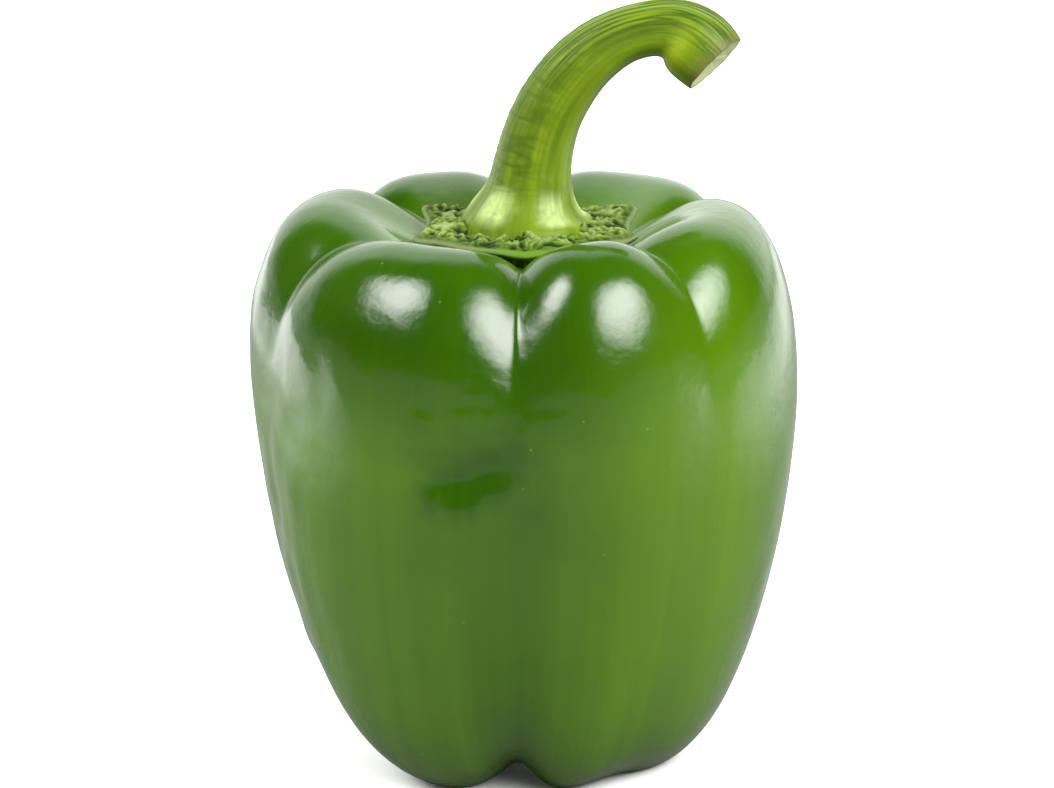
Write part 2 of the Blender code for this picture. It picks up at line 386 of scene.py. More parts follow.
def streaks_group():
    """Streaks that run along a grown thing's own grain, 0 between them and 1 on them."""
    inputs = {"Grain": VECTOR_SOCKET, "Fineness": NUMBER_SOCKET, "Contrast": NUMBER_SOCKET}
    tree, given, result = group("streaks", inputs, "Streak")
    lines = soft_noise(tree, given["Grain"], given["Fineness"], 3.0)
    low = calculate(tree, "SUBTRACT", 0.5, given["Contrast"])
    high = calculate(tree, "ADD", 0.5, given["Contrast"])
    spread = add(tree, "ShaderNodeMapRange", Value=lines, From_Min=low, From_Max=high)
    join(tree, result, spread.outputs["Result"])
    return tree


def dots_group():
    """Small scattered dots, 1 in the middle of each and 0 outside it."""
    inputs = {"Place": VECTOR_SOCKET, "Number": NUMBER_SOCKET, "Size": NUMBER_SOCKET}
    tree, given, result = group("dots", inputs, "Dot")
    cells = add(tree, "ShaderNodeTexVoronoi", Vector=given["Place"], Scale=given["Number"])
    away = calculate(tree, "DIVIDE", cells.outputs["Distance"], given["Size"])
    join(tree, result, calculate(tree, "MAXIMUM", calculate(tree, "SUBTRACT", 1.0, away), 0.0))
    return tree


streaks = streaks_group()
dots = dots_group()

# The skin's colours, and where they come in: each pair goes from none of it to all of it
DEEP_GREEN = (0.011, 0.044, 0.0002)
LIGHT_GREEN = (0.036, 0.092, 0.0006)
YELLOW_GREEN = (0.066, 0.148, 0.0015)
CROWN_GREEN = (0.095, 0.200, 0.0030)
BASE_GREEN = (0.070, 0.165, 0.0012)
DOT_GREEN = (0.200, 0.300, 0.0400)
# Where the lighter green low down, at the base and on the lower left comes in, and the yellower right side,
# each partly the skin's own tone and partly painted light; and where the deeper band above the waist comes
# in, partly its own green and partly painted shade
LOWER_HEIGHTS, LOWER_WANDER = (0.079, 0.070), 0.012
BASE_HEIGHTS = (0.045, 0.005)
BELT_HEIGHTS = (0.054, 0.068)
LEFT_ACROSS = (-0.008, -0.030)
RIPE_AND_LIT_ACROSS, RIPE_AND_LIT_WANDER = (0.006, 0.032), 0.004
RIPE_AND_LIT_OUTER, RIPE_AND_LIT_HEIGHTS = (0.050, 0.028), (0.105, 0.055)

# How many of the skin's patches, streaks, dots, pores and waves there are to the metre, and the depth of
# the pores and waves
SKIN_PATCHES = 45.0
BROAD_STREAKS, FINE_STREAKS = 220.0, 900.0
SKIN_DOTS, DOT_SIZE = 190.0, 0.050
PORES, PORE_DEPTH = 1400.0, 0.00004
WAVES, WAVE_DEPTH = 260.0, 0.00016
SKIN_GLOSS = (0.13, 0.18)
SKIN_IOR = 1.50


def new_material(name):
    """A Principled material, its node tree and its shader."""
    material = bpy.data.materials.new(name)
    material.use_nodes = True
    return material, material.node_tree, material.node_tree.nodes["Principled BSDF"]


def skin_material():
    """Waxy green skin: painted shade deepens the green in the creases and the hollows, and partly above the
    waist; it is fresher below and on the lower left and yellower on the right, partly in its own tones and
    partly as painted light, yellower at the crown, and streaked along its growth and dotted."""
    material, tree, shader = new_material("pepper_skin")
    place = add(tree, "ShaderNodeTexCoord").outputs["Object"]
    sides = add(tree, "ShaderNodeSeparateXYZ", Vector=place).outputs
    across, height = sides["X"], sides["Z"]
    grain = painted(tree, "grain", "Vector")
    patches = soft_noise(tree, place, SKIN_PATCHES, 3.0)
    broad = use(tree, streaks, Grain=grain, Fineness=BROAD_STREAKS, Contrast=0.16)
    fine = use(tree, streaks, Grain=grain, Fineness=FINE_STREAKS, Contrast=0.20)
    tiny = use(tree, dots, Place=place, Number=SKIN_DOTS, Size=DOT_SIZE)

    ripe_and_lit = ramp(tree, calculate(tree, "MULTIPLY_ADD", broad, RIPE_AND_LIT_WANDER, across), *RIPE_AND_LIT_ACROSS)
    ripe_and_lit = times(tree, ripe_and_lit, ramp(tree, across, *RIPE_AND_LIT_OUTER), ramp(tree, height, *RIPE_AND_LIT_HEIGHTS))
    lower = ramp(tree, calculate(tree, "MULTIPLY_ADD", patches, LOWER_WANDER, height), *LOWER_HEIGHTS)
    lower_left = times(tree, lower, ramp(tree, across, *LEFT_ACROSS))
    colour = layered(
        tree,
        DEEP_GREEN,
        (1.00, ramp(tree, patches, 0.10, 0.80), LIGHT_GREEN),
        # partly the skin's own fresher green and partly painted light: lighter below the waist, on the lower
        # left and at the base
        (0.30, lower, BASE_GREEN),
        (0.65, lower_left, BASE_GREEN),
        (0.70, ramp(tree, height, *BASE_HEIGHTS), BASE_GREEN),
        # partly the skin's own deeper green and partly painted shade above the waist
        (0.60, ramp(tree, height, *BELT_HEIGHTS), DEEP_GREEN),
        # partly a ripening tone and partly painted light on the right side
        (1.00, ripe_and_lit, YELLOW_GREEN),
        (0.22, broad, DEEP_GREEN),
        # painted shade under the middle of each hollow
        (0.85, painted(tree, "hollow"), DEEP_GREEN),
        (0.12, fine, LIGHT_GREEN),
        # painted shade in the creases, where the crest is low
        (0.40, ramp(tree, painted(tree, "crest"), 0.60, 0.0), DEEP_GREEN),
        (0.75, painted(tree, "crown"), CROWN_GREEN),
        (0.55, tiny, DOT_GREEN),
    )
    join(tree, shader.inputs["Base Color"], colour)
    join(tree, shader.inputs["Roughness"], between(tree, patches, *SKIN_GLOSS))

    pores = relief(tree, soft_noise(tree, place, PORES, 2.0), 0.35, PORE_DEPTH)
    waves = relief(tree, soft_noise(tree, place, WAVES, 2.0), 0.60, WAVE_DEPTH, Normal=pores)
    join(tree, shader.inputs["Normal"], waves)
    shader.inputs["IOR"].default_value = SKIN_IOR
    return material


def skin_hollows(points):
    """How far the hollows sink the skin at each point, and how dark their painted shade is, up to 1."""
    x, y, z = points.T
    inward = np.zeros(len(points))
    shade = np.zeros(len(points))
    for middle, level, half_width, half_height, depth in HOLLOWS:
        near = hump(x, middle, half_width) * (y < 0)
        inward = inward + depth * near * hump(z, level, half_height)
        shade = shade + max(depth, 0) * near * hump(z, level - SHADE_DROP, half_height)
    pitted = unevenness(points, HOLLOW_GRAIN, 61.0)
    shade = shade / SHADE_DEPTH * (1 + SHADE_BROKEN * pitted) - SHADE_EDGE
    return inward * (1 + HOLLOW_ROUGH * pitted), np.clip(shade, 0, 1)


def skin_relief(points):
    """How far swell, ripple and dimples lift each point of the skin, which is lowered a little all over."""
    x, y, z = points.T
    swell = SWELL_HEIGHT * unevenness(points * (1.0, 1.0, SWELL_LIE), SWELL_SIZE, 3.0) - SKIN_LOWERED
    ripple_height = RIPPLE_HEIGHT + CREASED_HEIGHT * fade(x, CREASED_FROM, CREASED_TO)
    ripple = ripple_height * unevenness(points * (1.0, 1.0, RIPPLE_LIE), RIPPLE_SIZE, 11.0)
    belt = hump(z, BELT_LEVEL, BELT_SPAN) * fade(np.abs(x), BELT_END, BELT_FULL)
    dimples = DIMPLE_HEIGHT * belt * unevenness(points * (1.0, 1.0, DIMPLE_LIE), DIMPLE_SIZE, 23.0)
    return swell + ripple + dimples


def make_fruit():
    """The fruit's mesh from its formula, with its relief along the normals and its painted values."""
    lobes = len(LOBES)
    mesh, turn, t = ball("pepper_fruit", lobes * SKIN_COLUMNS_PER_LOBE, SKIN_ROWS)
    place = crowd(turn * lobes, COLUMN_CROWDING)
    points, fullness = fruit_surface(place, t)
    normals = set_points(mesh, points)
    inward, shade = skin_hollows(points)
    on_side = np.minimum(fade(t, *RELIEF_TOP), fade(t, *RELIEF_LOW))
    lift = (skin_relief(points) - inward) * on_side
    set_points(mesh, points + normals * lift[:, None])

    angle = 2 * math.pi * place / lobes
    round_fruit = FRUIT_RADIUS * np.stack([np.cos(angle), np.sin(angle), GRAIN_LENGTH * t], axis=-1)
    crest = np.clip(fullness, 0, 1)
    paint(mesh, "grain", "FLOAT_VECTOR", round_fruit)
    paint(mesh, "crest", "FLOAT", crest)
    # the painted shade under the hollows
    paint(mesh, "hollow", "FLOAT", shade)
    paint(mesh, "crown", "FLOAT", fade(t, *CROWN_EDGE) * (1 - CREST_WITHOUT_CROWN * crest))
    stand(mesh, skin_material(), "fruit")


make_fruit()


# The calyx: the dried, crumpled leaf collar on the crown, with six corners that point into the creases. It
# is grown together with the stem, a firm grey-green leaf tissue with a thin pale rim.

CALYX_COLUMNS = 396
CALYX_ROWS = 100
CALYX_RADIUS = 0.0152
CALYX_TOP = 0.0830
CALYX_RIM = 0.0014
CALYX_THINNEST = 0.8 * CALYX_RIM
CALYX_OFF_SKIN = 0.0003
CALYX_FRONT, CALYX_LIP_SPAN = 268.0, 20.0
CALYX_EDGE_WAVES, CALYX_EDGE_WAVE = 2.2, 0.0004

# Each corner: its direction, how much further it reaches, and how far its edge curls up, or down if below 0
CALYX_CORNERS = (
    (268.0, 0.0002, -0.0004),
    (340.0, 0.0022, -0.0002),
    (387.0, 0.0030, 0.0014),
    (452.0, 0.0020, 0.0004),
    (510.0, 0.0026, 0.0014),
    (560.0, 0.0028, -0.0002),
)
CALYX_CORNER_SPAN = 11.0

# From the middle of the top over the rim to the middle below: shares of the reach, and 1 for the top side
CALYX_SECTION = (
    (0.00, 1.0),
    (0.26, 1.0),
    (0.50, 1.0),
    (0.68, 1.0),
    (0.84, 1.0),
    (0.98, 1.0),
    (1.04, 0.5),
    (0.98, 0.0),
    (0.82, 0.0),
    (0.62, 0.0),
    (0.40, 0.0),
    (0.20, 0.0),
    (0.00, 0.0),
)

# The crumple's folds and its finer crinkles, each with its size, its height and the level that counts as
# flat, then their shares in the painted fold, and that fold where the leaf is smooth
CRUMPLE_SIZE, CRUMPLE_HEIGHT, CRUMPLE_LEVEL = 0.0040, 0.00095, 0.6
CRINKLE_SIZE, CRINKLE_HEIGHT, CRINKLE_LEVEL = 0.0014, 0.00045, 0.5
CRUMPLE_SHARE, CRINKLE_SHARE, FLAT_FOLD = 0.45, 0.55, 0.7

# Where things are on the collar, in shares of its reach: the crumple's two edges, where its underside lifts
# off the crown, its rim, the lip over the front crease, and the arches between the stem's ribs
CRUMPLE_INNER, CRUMPLE_OUTER = (0.50, 0.60), (1.00, 0.88)
OPEN_FROM, OPEN_DROP = (0.60, 0.85), 0.006
RIM_FROM = (0.97, 1.00)
LIP_FROM = (0.93, 0.97)
ARCH_AT, ARCH_SPAN, ARCH_HEIGHT = 0.60, 0.08, 0.0011
STEM_RIBS = 5
STEM_RIB_DIRECTION = 229.0
GREY_LEAF = (0.088, 0.145, 0.009)
LEAF_GREEN = (0.060, 0.115, 0.002)
LEAF_SHADOW = (0.006, 0.018, 0.001)
PALE_RIM = (0.260, 0.320, 0.130)
LIP_GREEN = (0.070, 0.150, 0.006)
LEAF_PATCHES = 420.0
CRUMBS, CRUMB_SIZE = 1300.0, 0.55
GRIT, GRIT_DEPTH = 2600.0, 0.00015
LEAF_GLOSS = (0.45, 0.75)
LEAF_SHINE = 0.14

# The grid on which the crown's height is looked up: columns to a lobe, rows, the row that gives a column's
# direction, and the rows' range
LOOKUP_COLUMNS, LOOKUP_ROWS, LOOKUP_MIDDLE = 60, 90, 40
LOOKUP_RANGE = (0.02, 0.30)


def skin_under(x, y):
    """Height of the fruit's crown under each of these places, from the surface's own formula."""
    lobe_places = np.arange(0, len(LOBES), 1 / LOOKUP_COLUMNS)
    place, t = np.meshgrid(lobe_places, np.linspace(*LOOKUP_RANGE, LOOKUP_ROWS), indexing="ij")
    crown = fruit_surface(place.ravel(), t.ravel())[0]
    columns = crown.reshape(*place.shape, 3)
    middle_row = columns[:, LOOKUP_MIDDLE]
    angles = np.arctan2(middle_row[:, 1], middle_row[:, 0]) % (2 * math.pi)
    heights = []
    for a, b in zip(x, y):
        apart = np.abs((angles - math.atan2(b, a) + math.pi) % (2 * math.pi) - math.pi)
        column = columns[np.argmin(apart)]
        reach = np.hypot(column[:, 0], column[:, 1])
        heights.append(np.interp(math.hypot(a, b), reach, column[:, 2]))
    return np.array(heights)


def crumple(points, size):
    """The height of sharp ridges like a dried leaf's folds, from 0 up, with folds of about this size."""
    return np.array([noise.ridged_multi_fractal(Vector(p) / size, 1.0, 2.1, 4, 0.9, 2.0) for p in points])


def degrees_from(turn, direction):
    """Signed angle in degrees from a direction to each place round the pepper, which is given in turns."""
    return (360 * turn - direction + 180) % 360 - 180


def calyx_material():
    """Matte leaf: grey green, with painted shade low in the folds and paler fold ridges that are partly
    painted light, a pale rim, and a fresh lip over the front crease.
    """
    material, tree, shader = new_material("calyx_leaf")
    place = add(tree, "ShaderNodeTexCoord").outputs["Object"]
    patches = soft_noise(tree, place, LEAF_PATCHES, 4.0)
    fold = painted(tree, "fold")
    colour = layered(
        tree,
        LEAF_GREEN,
        (1.00, ramp(tree, patches, 0.40, 0.62), GREY_LEAF),
        (0.20, use(tree, dots, Place=place, Number=CRUMBS, Size=CRUMB_SIZE), PALE_RIM),
        # painted shade low in the folds
        (1.00, ramp(tree, fold, 1.02, 0.58), LEAF_SHADOW),
        # paler fold ridges, partly the dry leaf's own colour and partly painted light
        (0.40, ramp(tree, fold, 0.90, 1.15), PALE_RIM),
        (0.35, painted(tree, "rim"), PALE_RIM),
        (1.00, painted(tree, "lip"), LIP_GREEN),
    )
    join(tree, shader.inputs["Base Color"], colour)
    join(tree, shader.inputs["Roughness"], between(tree, patches, *LEAF_GLOSS))
    grit = relief(tree, soft_noise(tree, place, GRIT, 3.0), 0.60, GRIT_DEPTH)
    join(tree, shader.inputs["Normal"], grit)
    shader.inputs["Specular IOR Level"].default_value = LEAF_SHINE
    return material


def calyx_outline(turn):
    """How far the collar reaches and how far its edge curls up at each turn, corners and waves included."""
    angle = 2 * math.pi * turn
    circle = CALYX_EDGE_WAVES * np.stack([np.cos(angle), np.sin(angle), 0 * angle], axis=-1)
    waves = np.array([noise.noise(Vector(p) + Vector((0, 0, 5.0))) for p in circle])
    reach = CALYX_RADIUS + CALYX_EDGE_WAVE * waves
    curl = np.zeros(len(turn))
    for direction, longer, higher in CALYX_CORNERS:
        near = hump(degrees_from(turn, direction), 0, CALYX_CORNER_SPAN)
        reach = reach + longer * near
        curl = curl + higher * near
    return reach, curl


def make_calyx():
    """The collar's mesh: its section swept round, laid on the crown, crumpled on top, curled at the rim."""
    mesh, turn, t = ball("pepper_calyx", CALYX_COLUMNS, CALYX_ROWS)
    out, level = pole_to_pole(CALYX_SECTION, (-1, 1), t)
    angle = 2 * math.pi * turn
    reach, curl = calyx_outline(turn)
    x = out * reach * np.cos(angle)
    y = out * reach * np.sin(angle)
    on_crown = skin_under(x, y) + CALYX_OFF_SKIN

    inner = fade(out, *CRUMPLE_INNER) * fade(out, *CRUMPLE_OUTER)
    flat = np.stack([x, y, 0 * x], axis=-1)
    folds = crumple(flat, CRUMPLE_SIZE)
    crinkles = crumple(flat, CRINKLE_SIZE)
    crumpled = CRUMPLE_HEIGHT * (folds - CRUMPLE_LEVEL) + CRINKLE_HEIGHT * (crinkles - CRINKLE_LEVEL)
    between_ribs = np.clip(-np.cos(STEM_RIBS * (angle - math.radians(STEM_RIB_DIRECTION))), 0, 1)
    lift = inner * crumpled + ARCH_HEIGHT * between_ribs * hump(out, ARCH_AT, ARCH_SPAN)
    top = np.maximum(CALYX_TOP + curl * out**4, on_crown + CALYX_THINNEST) + lift
    under = np.maximum(on_crown, top - CALYX_RIM - OPEN_DROP * (1 - fade(out, *OPEN_FROM)))
    set_points(mesh, np.stack([x, y, under + (top - under) * level], axis=-1))

    front = hump(degrees_from(turn, CALYX_FRONT), 0, CALYX_LIP_SPAN)
    fold = CRUMPLE_SHARE * folds + CRINKLE_SHARE * crinkles
    paint(mesh, "fold", "FLOAT", FLAT_FOLD + inner * (fold - FLAT_FOLD))
    paint(mesh, "rim", "FLOAT", fade(out, *RIM_FROM))
    paint(mesh, "lip", "FLOAT", fade(out, *LIP_FROM) * front)
    stand(mesh, calyx_material(), "calyx")


make_calyx()


# The stem: a firm green stalk with five blunt ribs, flared and fluted where it grows out of the calyx,
# hooked over by its own growth, and thickened at the end where it was cut from the plant.

STEM_COLUMNS = 240
STEM_RINGS = 330

# Along the stem from its foot to its cut: a point of its middle, its radius, and how far its ribs stand out
STEM_LINE = (
    (-0.0001, 0.0, 0.0835, 0.0090, 0.020),
    (-0.0001, 0.0, 0.0853, 0.0086, 0.050),
    (0.0002, 0.0, 0.0875, 0.0068, 0.050),
    (0.0005, 0.0, 0.0905, 0.0060, 0.030),
    (0.0014, 0.0, 0.0962, 0.0055, 0.030),
    (0.0036, 0.0, 0.1022, 0.0052, 0.030),
    (0.0081, 0.0, 0.1082, 0.0048, 0.040),
    (0.0133, 0.0, 0.1121, 0.0042, 0.045),
    (0.0189, 0.0, 0.1136, 0.0040, 0.045),
    (0.0223, -0.0003, 0.1133, 0.0048, 0.045),
    (0.0253, -0.0010, 0.1112, 0.0060, 0.035),
    (0.0282, -0.0022, 0.1084, 0.0053, 0.025),
)

# The step along the stem by which its direction is read. Then its two ends: where its side starts and stops
# between the mesh's poles, the edge, hollow, grain, colour and ragged rim of the cut, and how deep the foot
# is sunk in the calyx and how it flares
STEM_STEP = 0.001
FOOT_CAP, CUT_CAP = 0.03, 0.94
CUT_BEND, CUT_BEND_RADIUS = 0.004, 0.97
CUT_HOLLOW = 0.0008
CUT_GRAIN, CUT_GRAIN_HEIGHT = 0.0009, 0.00009
CUT_COLOUR = (CUT_CAP + 0.003, CUT_CAP + 0.007)
RAGGED_SIZE, RAGGED_HEIGHT, RAGGED_SPAN = 0.35, 0.00014, 0.03
STEM_SUNK, SUNK_END = 0.0008, 0.04
FOOT_FLARE, FOOT_FLARE_SPAN = 0.13, 0.075

# Relief on the rind: lengthwise lines on the outside of its bend, crosswise wrinkles low down, and lumps,
# each with its size and its run along the stem, in shares of the radius and the length, and its height
LINE_SIZE, LINE_RUN, LINE_SHARP, LINE_DEPTH = 0.13, 0.5, 4.0, 0.00010
WRINKLE_SIZE, WRINKLE_RUN, WRINKLE_SHARP, WRINKLE_DEPTH = 0.50, 21.0, 4.0, 0.00009
WRINKLE_TURNS = 0.6
LUMP_SIZE, LUMP_RUN, LUMP_HEIGHT = 0.50, 6.0, 0.00009
WRINKLE_COLOUR = 0.5
SWELLING, PALE_RIBS = 1.2, (-0.5625, 0.6875)

# Where things are along the stem, from none of it to all of it, in shares of its length
LINES_FROM = (0.30, 0.55)
WRINKLES_FROM, WRINKLES_TO = (0.20, 0.26), (0.62, 0.47)
PALE_FROM, PALE_TO = (0.05, 0.10), (0.26, 0.19)
END_PATCH_AT, END_PATCH_SPAN = 0.87, 0.05
EDGE_FROM = (0.93, 1.00)

# Which side of the stem they are on: 1 is the inside of its bend and -1 its outside, and for PATCH_FRONT
# 1 is the rear and -1 the front
LINES_SIDE = (0.35, -0.65)
WRINKLES_SIDE = (0.50, -0.50)
PATCH_FRONT, PATCH_INSIDE = (0.30, -0.70), (-0.60, 0.40)

STEM_GREEN = (0.064, 0.118, 0.0010)
STEM_YELLOW = (0.150, 0.222, 0.0020)
STEM_DARK = (0.018, 0.048, 0.0010)
FOOT_PALE = (0.330, 0.430, 0.1500)
END_YELLOW = (0.210, 0.275, 0.0012)
CUT_FLESH = (0.400, 0.450, 0.2200)
CUT_EDGE = (0.090, 0.085, 0.0200)
STEM_BROAD_STREAKS, STEM_FINE_STREAKS = 330.0, 1500.0
STEM_PATCHES, FOOT_MOTTLE = 260.0, 1100.0
RIND_GRAIN, RIND_DEPTH = 1700.0, 0.0001
STEM_GLOSS, FOOT_ROUGHER = (0.36, 0.52), 0.22
STEM_SHINE = 0.18
STEM_GRAIN = (0.0055, 0.0055, 0.003)


def end_to_end(rows, t):
    """Rows whose curve starts at the first and ends at the last."""
    rows = np.array(rows)
    return along(rows, 2 * rows[0] - rows[1], 2 * rows[-1] - rows[-2], t)


def fine_lines(points, size, seed, sharpness):
    """Thin wandering lines over the points: 1 on a line and 0 away from it."""
    return np.clip(1 - sharpness * np.abs(unevenness(points, size, seed)), 0, 1)


def stem_material():
    """Satin green rind with dark lengthwise lines, pale where the foot swells, pale flesh at the cut."""
    material, tree, shader = new_material("stem_green")
    place = add(tree, "ShaderNodeTexCoord").outputs["Object"]
    grain = painted(tree, "grain", "Vector")
    swelling = painted(tree, "swelling")
    broad = use(tree, streaks, Grain=grain, Fineness=STEM_BROAD_STREAKS, Contrast=0.22)
    fine = use(tree, streaks, Grain=grain, Fineness=STEM_FINE_STREAKS, Contrast=0.22)
    patches = soft_noise(tree, place, STEM_PATCHES, 4.0)
    mottled = times(tree, swelling, ramp(tree, soft_noise(tree, place, FOOT_MOTTLE, 4.0), -0.30, 0.80))
    colour = layered(
        tree,
        STEM_GREEN,
        (0.80, broad, STEM_YELLOW),
        (0.50, ramp(tree, patches, 0.45, 0.70), STEM_YELLOW),
        (1.00, mottled, FOOT_PALE),
        (0.45, fine, STEM_DARK),
        (1.00, painted(tree, "line"), STEM_DARK),
        (0.80, painted(tree, "end_patch"), END_YELLOW),
        (0.90, painted(tree, "edge"), CUT_EDGE),
        (1.00, painted(tree, "cut"), CUT_FLESH),
    )
    join(tree, shader.inputs["Base Color"], colour)
    rough = calculate(tree, "MULTIPLY_ADD", swelling, FOOT_ROUGHER, between(tree, patches, *STEM_GLOSS))
    join(tree, shader.inputs["Roughness"], rough)
    lines = relief(tree, fine, 0.35, RIND_DEPTH)
    rind = relief(tree, soft_noise(tree, place, RIND_GRAIN, 3.0), 0.50, RIND_DEPTH, Normal=lines)
    join(tree, shader.inputs["Normal"], rind)
    shader.inputs["Specular IOR Level"].default_value = STEM_SHINE
    return material


def stem_directions(length):
    """At each share of the length: along the stem, across it in the plane of its bend, and out of that
    plane."""
    ahead = np.stack(end_to_end(STEM_LINE, length + STEM_STEP)[:3], axis=-1)
    behind = np.stack(end_to_end(STEM_LINE, length - STEM_STEP)[:3], axis=-1)
    forward = ahead - behind
    forward = forward / np.linalg.norm(forward, axis=-1, keepdims=True)
    across = np.cross((0.0, 1.0, 0.0), forward)
    across = across / np.linalg.norm(across, axis=-1, keepdims=True)
    return forward, across, np.cross(forward, across)


def make_stem():
    """The stem's mesh: a ribbed tube along its middle line, wrinkled outside and hollowed at the cut."""
    mesh, turn, t = ball("pepper_stem", STEM_COLUMNS, STEM_RINGS)
    angle = 2 * math.pi * turn
    inside, rear = np.cos(angle), np.sin(angle)
    length = np.interp(t, (FOOT_CAP, CUT_CAP), (0, 1))
    bend = CUT_CAP + CUT_BEND
    out = np.interp(t, (0, FOOT_CAP, CUT_CAP, bend, 1), (0, 1, 1, CUT_BEND_RADIUS, 0))
    x, y, z, radius, rib = end_to_end(STEM_LINE, length)
    forward, across, outward = stem_directions(length)

    ring = np.stack([inside, rear, 0 * angle], axis=-1)
    run = np.stack([0 * length, 0 * length, length], axis=-1)
    lines = fine_lines(ring + run * LINE_RUN, LINE_SIZE, 7.0, LINE_SHARP)
    lines = lines * fade(inside, *LINES_SIDE) * fade(length, *LINES_FROM)
    wrinkles = fine_lines(ring * WRINKLE_TURNS + run * WRINKLE_RUN, WRINKLE_SIZE, 29.0, WRINKLE_SHARP)
    wrinkles = wrinkles * fade(length, *WRINKLES_FROM) * fade(length, *WRINKLES_TO)
    wrinkles = wrinkles * fade(inside, *WRINKLES_SIDE)
    lumps = unevenness(ring + run * LUMP_RUN, LUMP_SIZE, 19.0)

    ribs = np.cos(STEM_RIBS * (angle - math.radians(STEM_RIB_DIRECTION)))
    flare = 1 + FOOT_FLARE * hump(length, 0, FOOT_FLARE_SPAN)
    size = radius * flare * (1 + rib * ribs) + LUMP_HEIGHT * lumps
    size = size - LINE_DEPTH * lines - WRINKLE_DEPTH * wrinkles
    from_line = (size * out)[:, None] * (inside[:, None] * across + rear[:, None] * outward)
    sunk = STEM_SUNK * fade(length, SUNK_END, 0)
    points = np.stack([x, y, z - sunk], axis=-1) + from_line

    flesh = CUT_GRAIN_HEIGHT * unevenness(points, CUT_GRAIN, 41.0) - CUT_HOLLOW * (1 - out**2)
    ragged = RAGGED_HEIGHT * unevenness(ring, RAGGED_SIZE, 47.0) * fade(t, CUT_CAP - RAGGED_SPAN, CUT_CAP)
    end = flesh * fade(t, CUT_CAP, bend) + ragged
    set_points(mesh, points + end[:, None] * forward)

    foot = fade(length, *PALE_FROM) * fade(length, *PALE_TO)
    patch = hump(length, END_PATCH_AT, END_PATCH_SPAN) * fade(rear, *PATCH_FRONT)
    paint(mesh, "grain", "FLOAT_VECTOR", (ring + run) * STEM_GRAIN)
    paint(mesh, "swelling", "FLOAT", SWELLING * foot * fade(ribs, *PALE_RIBS))
    paint(mesh, "end_patch", "FLOAT", patch * fade(inside, *PATCH_INSIDE))
    paint(mesh, "line", "FLOAT", np.maximum(lines, WRINKLE_COLOUR * wrinkles))
    paint(mesh, "cut", "FLOAT", fade(t, *CUT_COLOUR))
    paint(mesh, "edge", "FLOAT", fade(length, *EDGE_FROM) ** 2)
    stand(mesh, stem_material(), "stem")


make_stem()


# The floor: a plain pale sheet under the pepper. All but the camera see it painted: pale, as if lit, only
# out at the sides, level with the pepper and behind it, and dark, as if shaded, everywhere else.

FLOOR_HALF = 2.5
FLOOR_FRONT = 0.42
FLOOR_BACK = 3.0
FLOOR_WHITE = (0.85, 0.85, 0.84)
FLOOR_SHADE = (0.18, 0.18, 0.18)
FLOOR_LIT = (0.85, 0.85, 0.85)
LIT_SIDEWAYS = (0.12, 0.30)
LIT_BACKWARD = (-0.12, 0.10)


def floor_material():
    """Matte pale paper, faintly uneven, as the camera sees it; every other ray sees painted light out at the
    sides and painted shade elsewhere.
    """
    material, tree, shader = new_material("floor_paper")
    place = add(tree, "ShaderNodeTexCoord").outputs["Object"]
    sides = add(tree, "ShaderNodeSeparateXYZ", Vector=place).outputs
    # painted light out at the sides and painted shade elsewhere, for every ray but the camera's
    sideways = calculate(tree, "ABSOLUTE", sides["X"])
    lit = times(tree, ramp(tree, sideways, *LIT_SIDEWAYS), ramp(tree, sides["Y"], *LIT_BACKWARD))
    painted_light_and_shade = blend(tree, lit, FLOOR_SHADE, FLOOR_LIT)
    paper = layered(tree, FLOOR_WHITE, (0.10, soft_noise(tree, place, 3.0, 2.0), FLOOR_SHADE))
    seen = add(tree, "ShaderNodeLightPath").outputs["Is Camera Ray"]
    join(tree, shader.inputs["Base Color"], blend(tree, seen, painted_light_and_shade, paper))
    shader.inputs["Roughness"].default_value = 0.9
    shader.inputs["Specular IOR Level"].default_value = 0.0
    return material


def make_floor():
    """One flat face."""
    mesh = bpy.data.meshes.new("floor")
    corners = [
        (-FLOOR_HALF, -FLOOR_FRONT, 0),
        (FLOOR_HALF, -FLOOR_FRONT, 0),
        (FLOOR_HALF, FLOOR_BACK, 0),
        (-FLOOR_HALF, FLOOR_BACK, 0),
    ]
    mesh.from_pydata(corners, [], [(0, 1, 2, 3)])
    mesh.materials.append(floor_material())
    floor = bpy.data.objects.new("floor", mesh)
    bpy.context.scene.collection.objects.link(floor)


make_floor()


# The light: two soft boxes that the skin mirrors, fills that it doesn't, and a studio round them that is
# dark in front and above, pale low down and white behind.

AIM = (0.0, 0.0, 0.055)


def toward_place(azimuth, elevation):
    """The direction to a place round the pepper, with azimuth counted from the front to the right."""
    turn, rise = math.radians(azimuth), math.radians(elevation)
    return Vector((math.sin(turn) * math.cos(rise), -math.cos(turn) * math.cos(rise), math.sin(rise)))


def soft_light(name, azimuth, elevation, distance, width, height, radiance):
    """A rectangular light aimed at the pepper, out of the camera's sight."""
    light = bpy.data.lights.new(name, "AREA")
    light.shape = "RECTANGLE"
    light.size = width
    light.size_y = height
    light.energy = radiance * math.pi * width * height
    lamp = bpy.data.objects.new(name, light)
    away = toward_place(azimuth, elevation)
    lamp.location = Vector(AIM) + distance * away
    lamp.rotation_euler = away.to_track_quat("Z", "Y").to_euler()
    lamp.visible_camera = False
    bpy.context.scene.collection.objects.link(lamp)
    return lamp


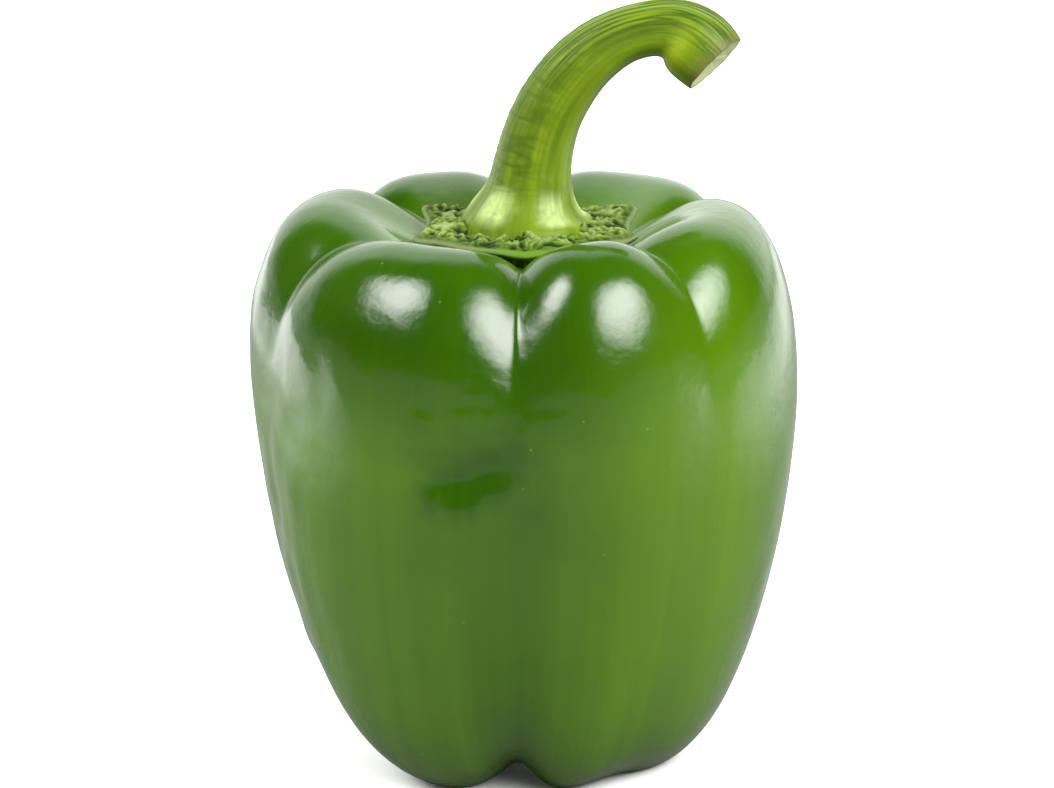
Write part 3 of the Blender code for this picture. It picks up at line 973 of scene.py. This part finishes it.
def fade_edges(lamp, core):
    """Makes a light full as far from its middle as core, and soft from there to its edges."""
    light = lamp.data
    light.use_nodes = True
    tree = light.node_tree
    place = add(tree, "ShaderNodeTexCoord").outputs["UV"]
    from_middle = add(tree, "ShaderNodeVectorMath", {"operation": "SUBTRACT"})
    join(tree, from_middle.inputs[0], place)
    join(tree, from_middle.inputs[1], (0.5, 0.5, 0.0))
    far = add(tree, "ShaderNodeVectorMath", {"operation": "LENGTH"}, Vector=from_middle.outputs["Vector"])
    join(tree, tree.nodes["Emission"].inputs["Strength"], ramp(tree, far.outputs["Value"], 0.5, core))


# Each light's azimuth, elevation, distance, width, height and radiance, and for a box how far from its
# middle it stays full, in shares of its size
fade_edges(soft_light("box_left", -71, 42, 1.5, 1.25, 1.20, 16.0), 0.10)
fade_edges(soft_light("box_right", 46, 38, 1.5, 2.60, 1.55, 17.0), 0.08)
fills = (
    soft_light("fill_side", -125, 18, 1.5, 1.3, 0.8, 5.5),
    soft_light("fill_front", -30, 5, 1.5, 1.8, 0.5, 2.2),
    soft_light("fill_back", 180, 50, 1.3, 2.2, 1.2, 3.4),
)
for fill in fills:
    fill.visible_glossy = False

# The studio by direction, up being 1 straight above and back being 1 straight behind: each pair goes from
# none of it to all of it
STUDIO_DARK = (0.01, 0.01, 0.01)
STUDIO_WHITE = (1.5, 1.5, 1.5)
STUDIO_LOW = (0.50, 0.50, 0.50)
SEEN_WHITE = (1.0, 1.0, 1.0)
LOW_UP = (0.10, 0.05)
WHITE_BACK, WHITE_NARROWED = (0.21, 0.58), -0.4


def make_studio():
    """The world's colours, as the skin mirrors them. The camera itself sees white."""
    world = bpy.data.worlds.new("studio")
    world.use_nodes = True
    tree = world.node_tree
    direction = add(tree, "ShaderNodeTexCoord").outputs["Generated"]
    sides = add(tree, "ShaderNodeSeparateXYZ", Vector=direction).outputs
    sideways = calculate(tree, "ABSOLUTE", sides["X"])
    back = calculate(tree, "MULTIPLY_ADD", sideways, WHITE_NARROWED, sides["Y"])
    colour = layered(
        tree,
        STUDIO_DARK,
        (1.00, ramp(tree, sides["Z"], *LOW_UP), STUDIO_LOW),
        (1.00, ramp(tree, back, *WHITE_BACK), STUDIO_WHITE),
        (1.00, add(tree, "ShaderNodeLightPath").outputs["Is Camera Ray"], SEEN_WHITE),
    )
    join(tree, tree.nodes["Background"].inputs["Color"], colour)
    bpy.context.scene.world = world


make_studio()


# The camera: straight in front of the pepper and 15 degrees above level, as the photograph was judged to be
# taken. It stands well off with a long lens.

CAMERA_TARGET = (0.0004, 0.0, 0.0567)
CAMERA_DISTANCE = 0.9
CAMERA_ELEVATION = 15.0
CAMERA_LENS = 202.0
CAMERA_SENSOR = 36.0


def make_camera():
    """The camera straight in front, aimed at the middle of the pepper."""
    lens = bpy.data.cameras.new("camera")
    lens.lens = CAMERA_LENS
    lens.sensor_width = CAMERA_SENSOR
    lens.sensor_fit = "HORIZONTAL"
    camera = bpy.data.objects.new("camera", lens)
    away = toward_place(0.0, CAMERA_ELEVATION)
    camera.location = Vector(CAMERA_TARGET) + CAMERA_DISTANCE * away
    camera.rotation_euler = away.to_track_quat("Z", "Y").to_euler()
    bpy.context.scene.collection.objects.link(camera)
    bpy.context.scene.camera = camera


make_camera()
bpy.context.scene.view_settings.view_transform = "Standard"
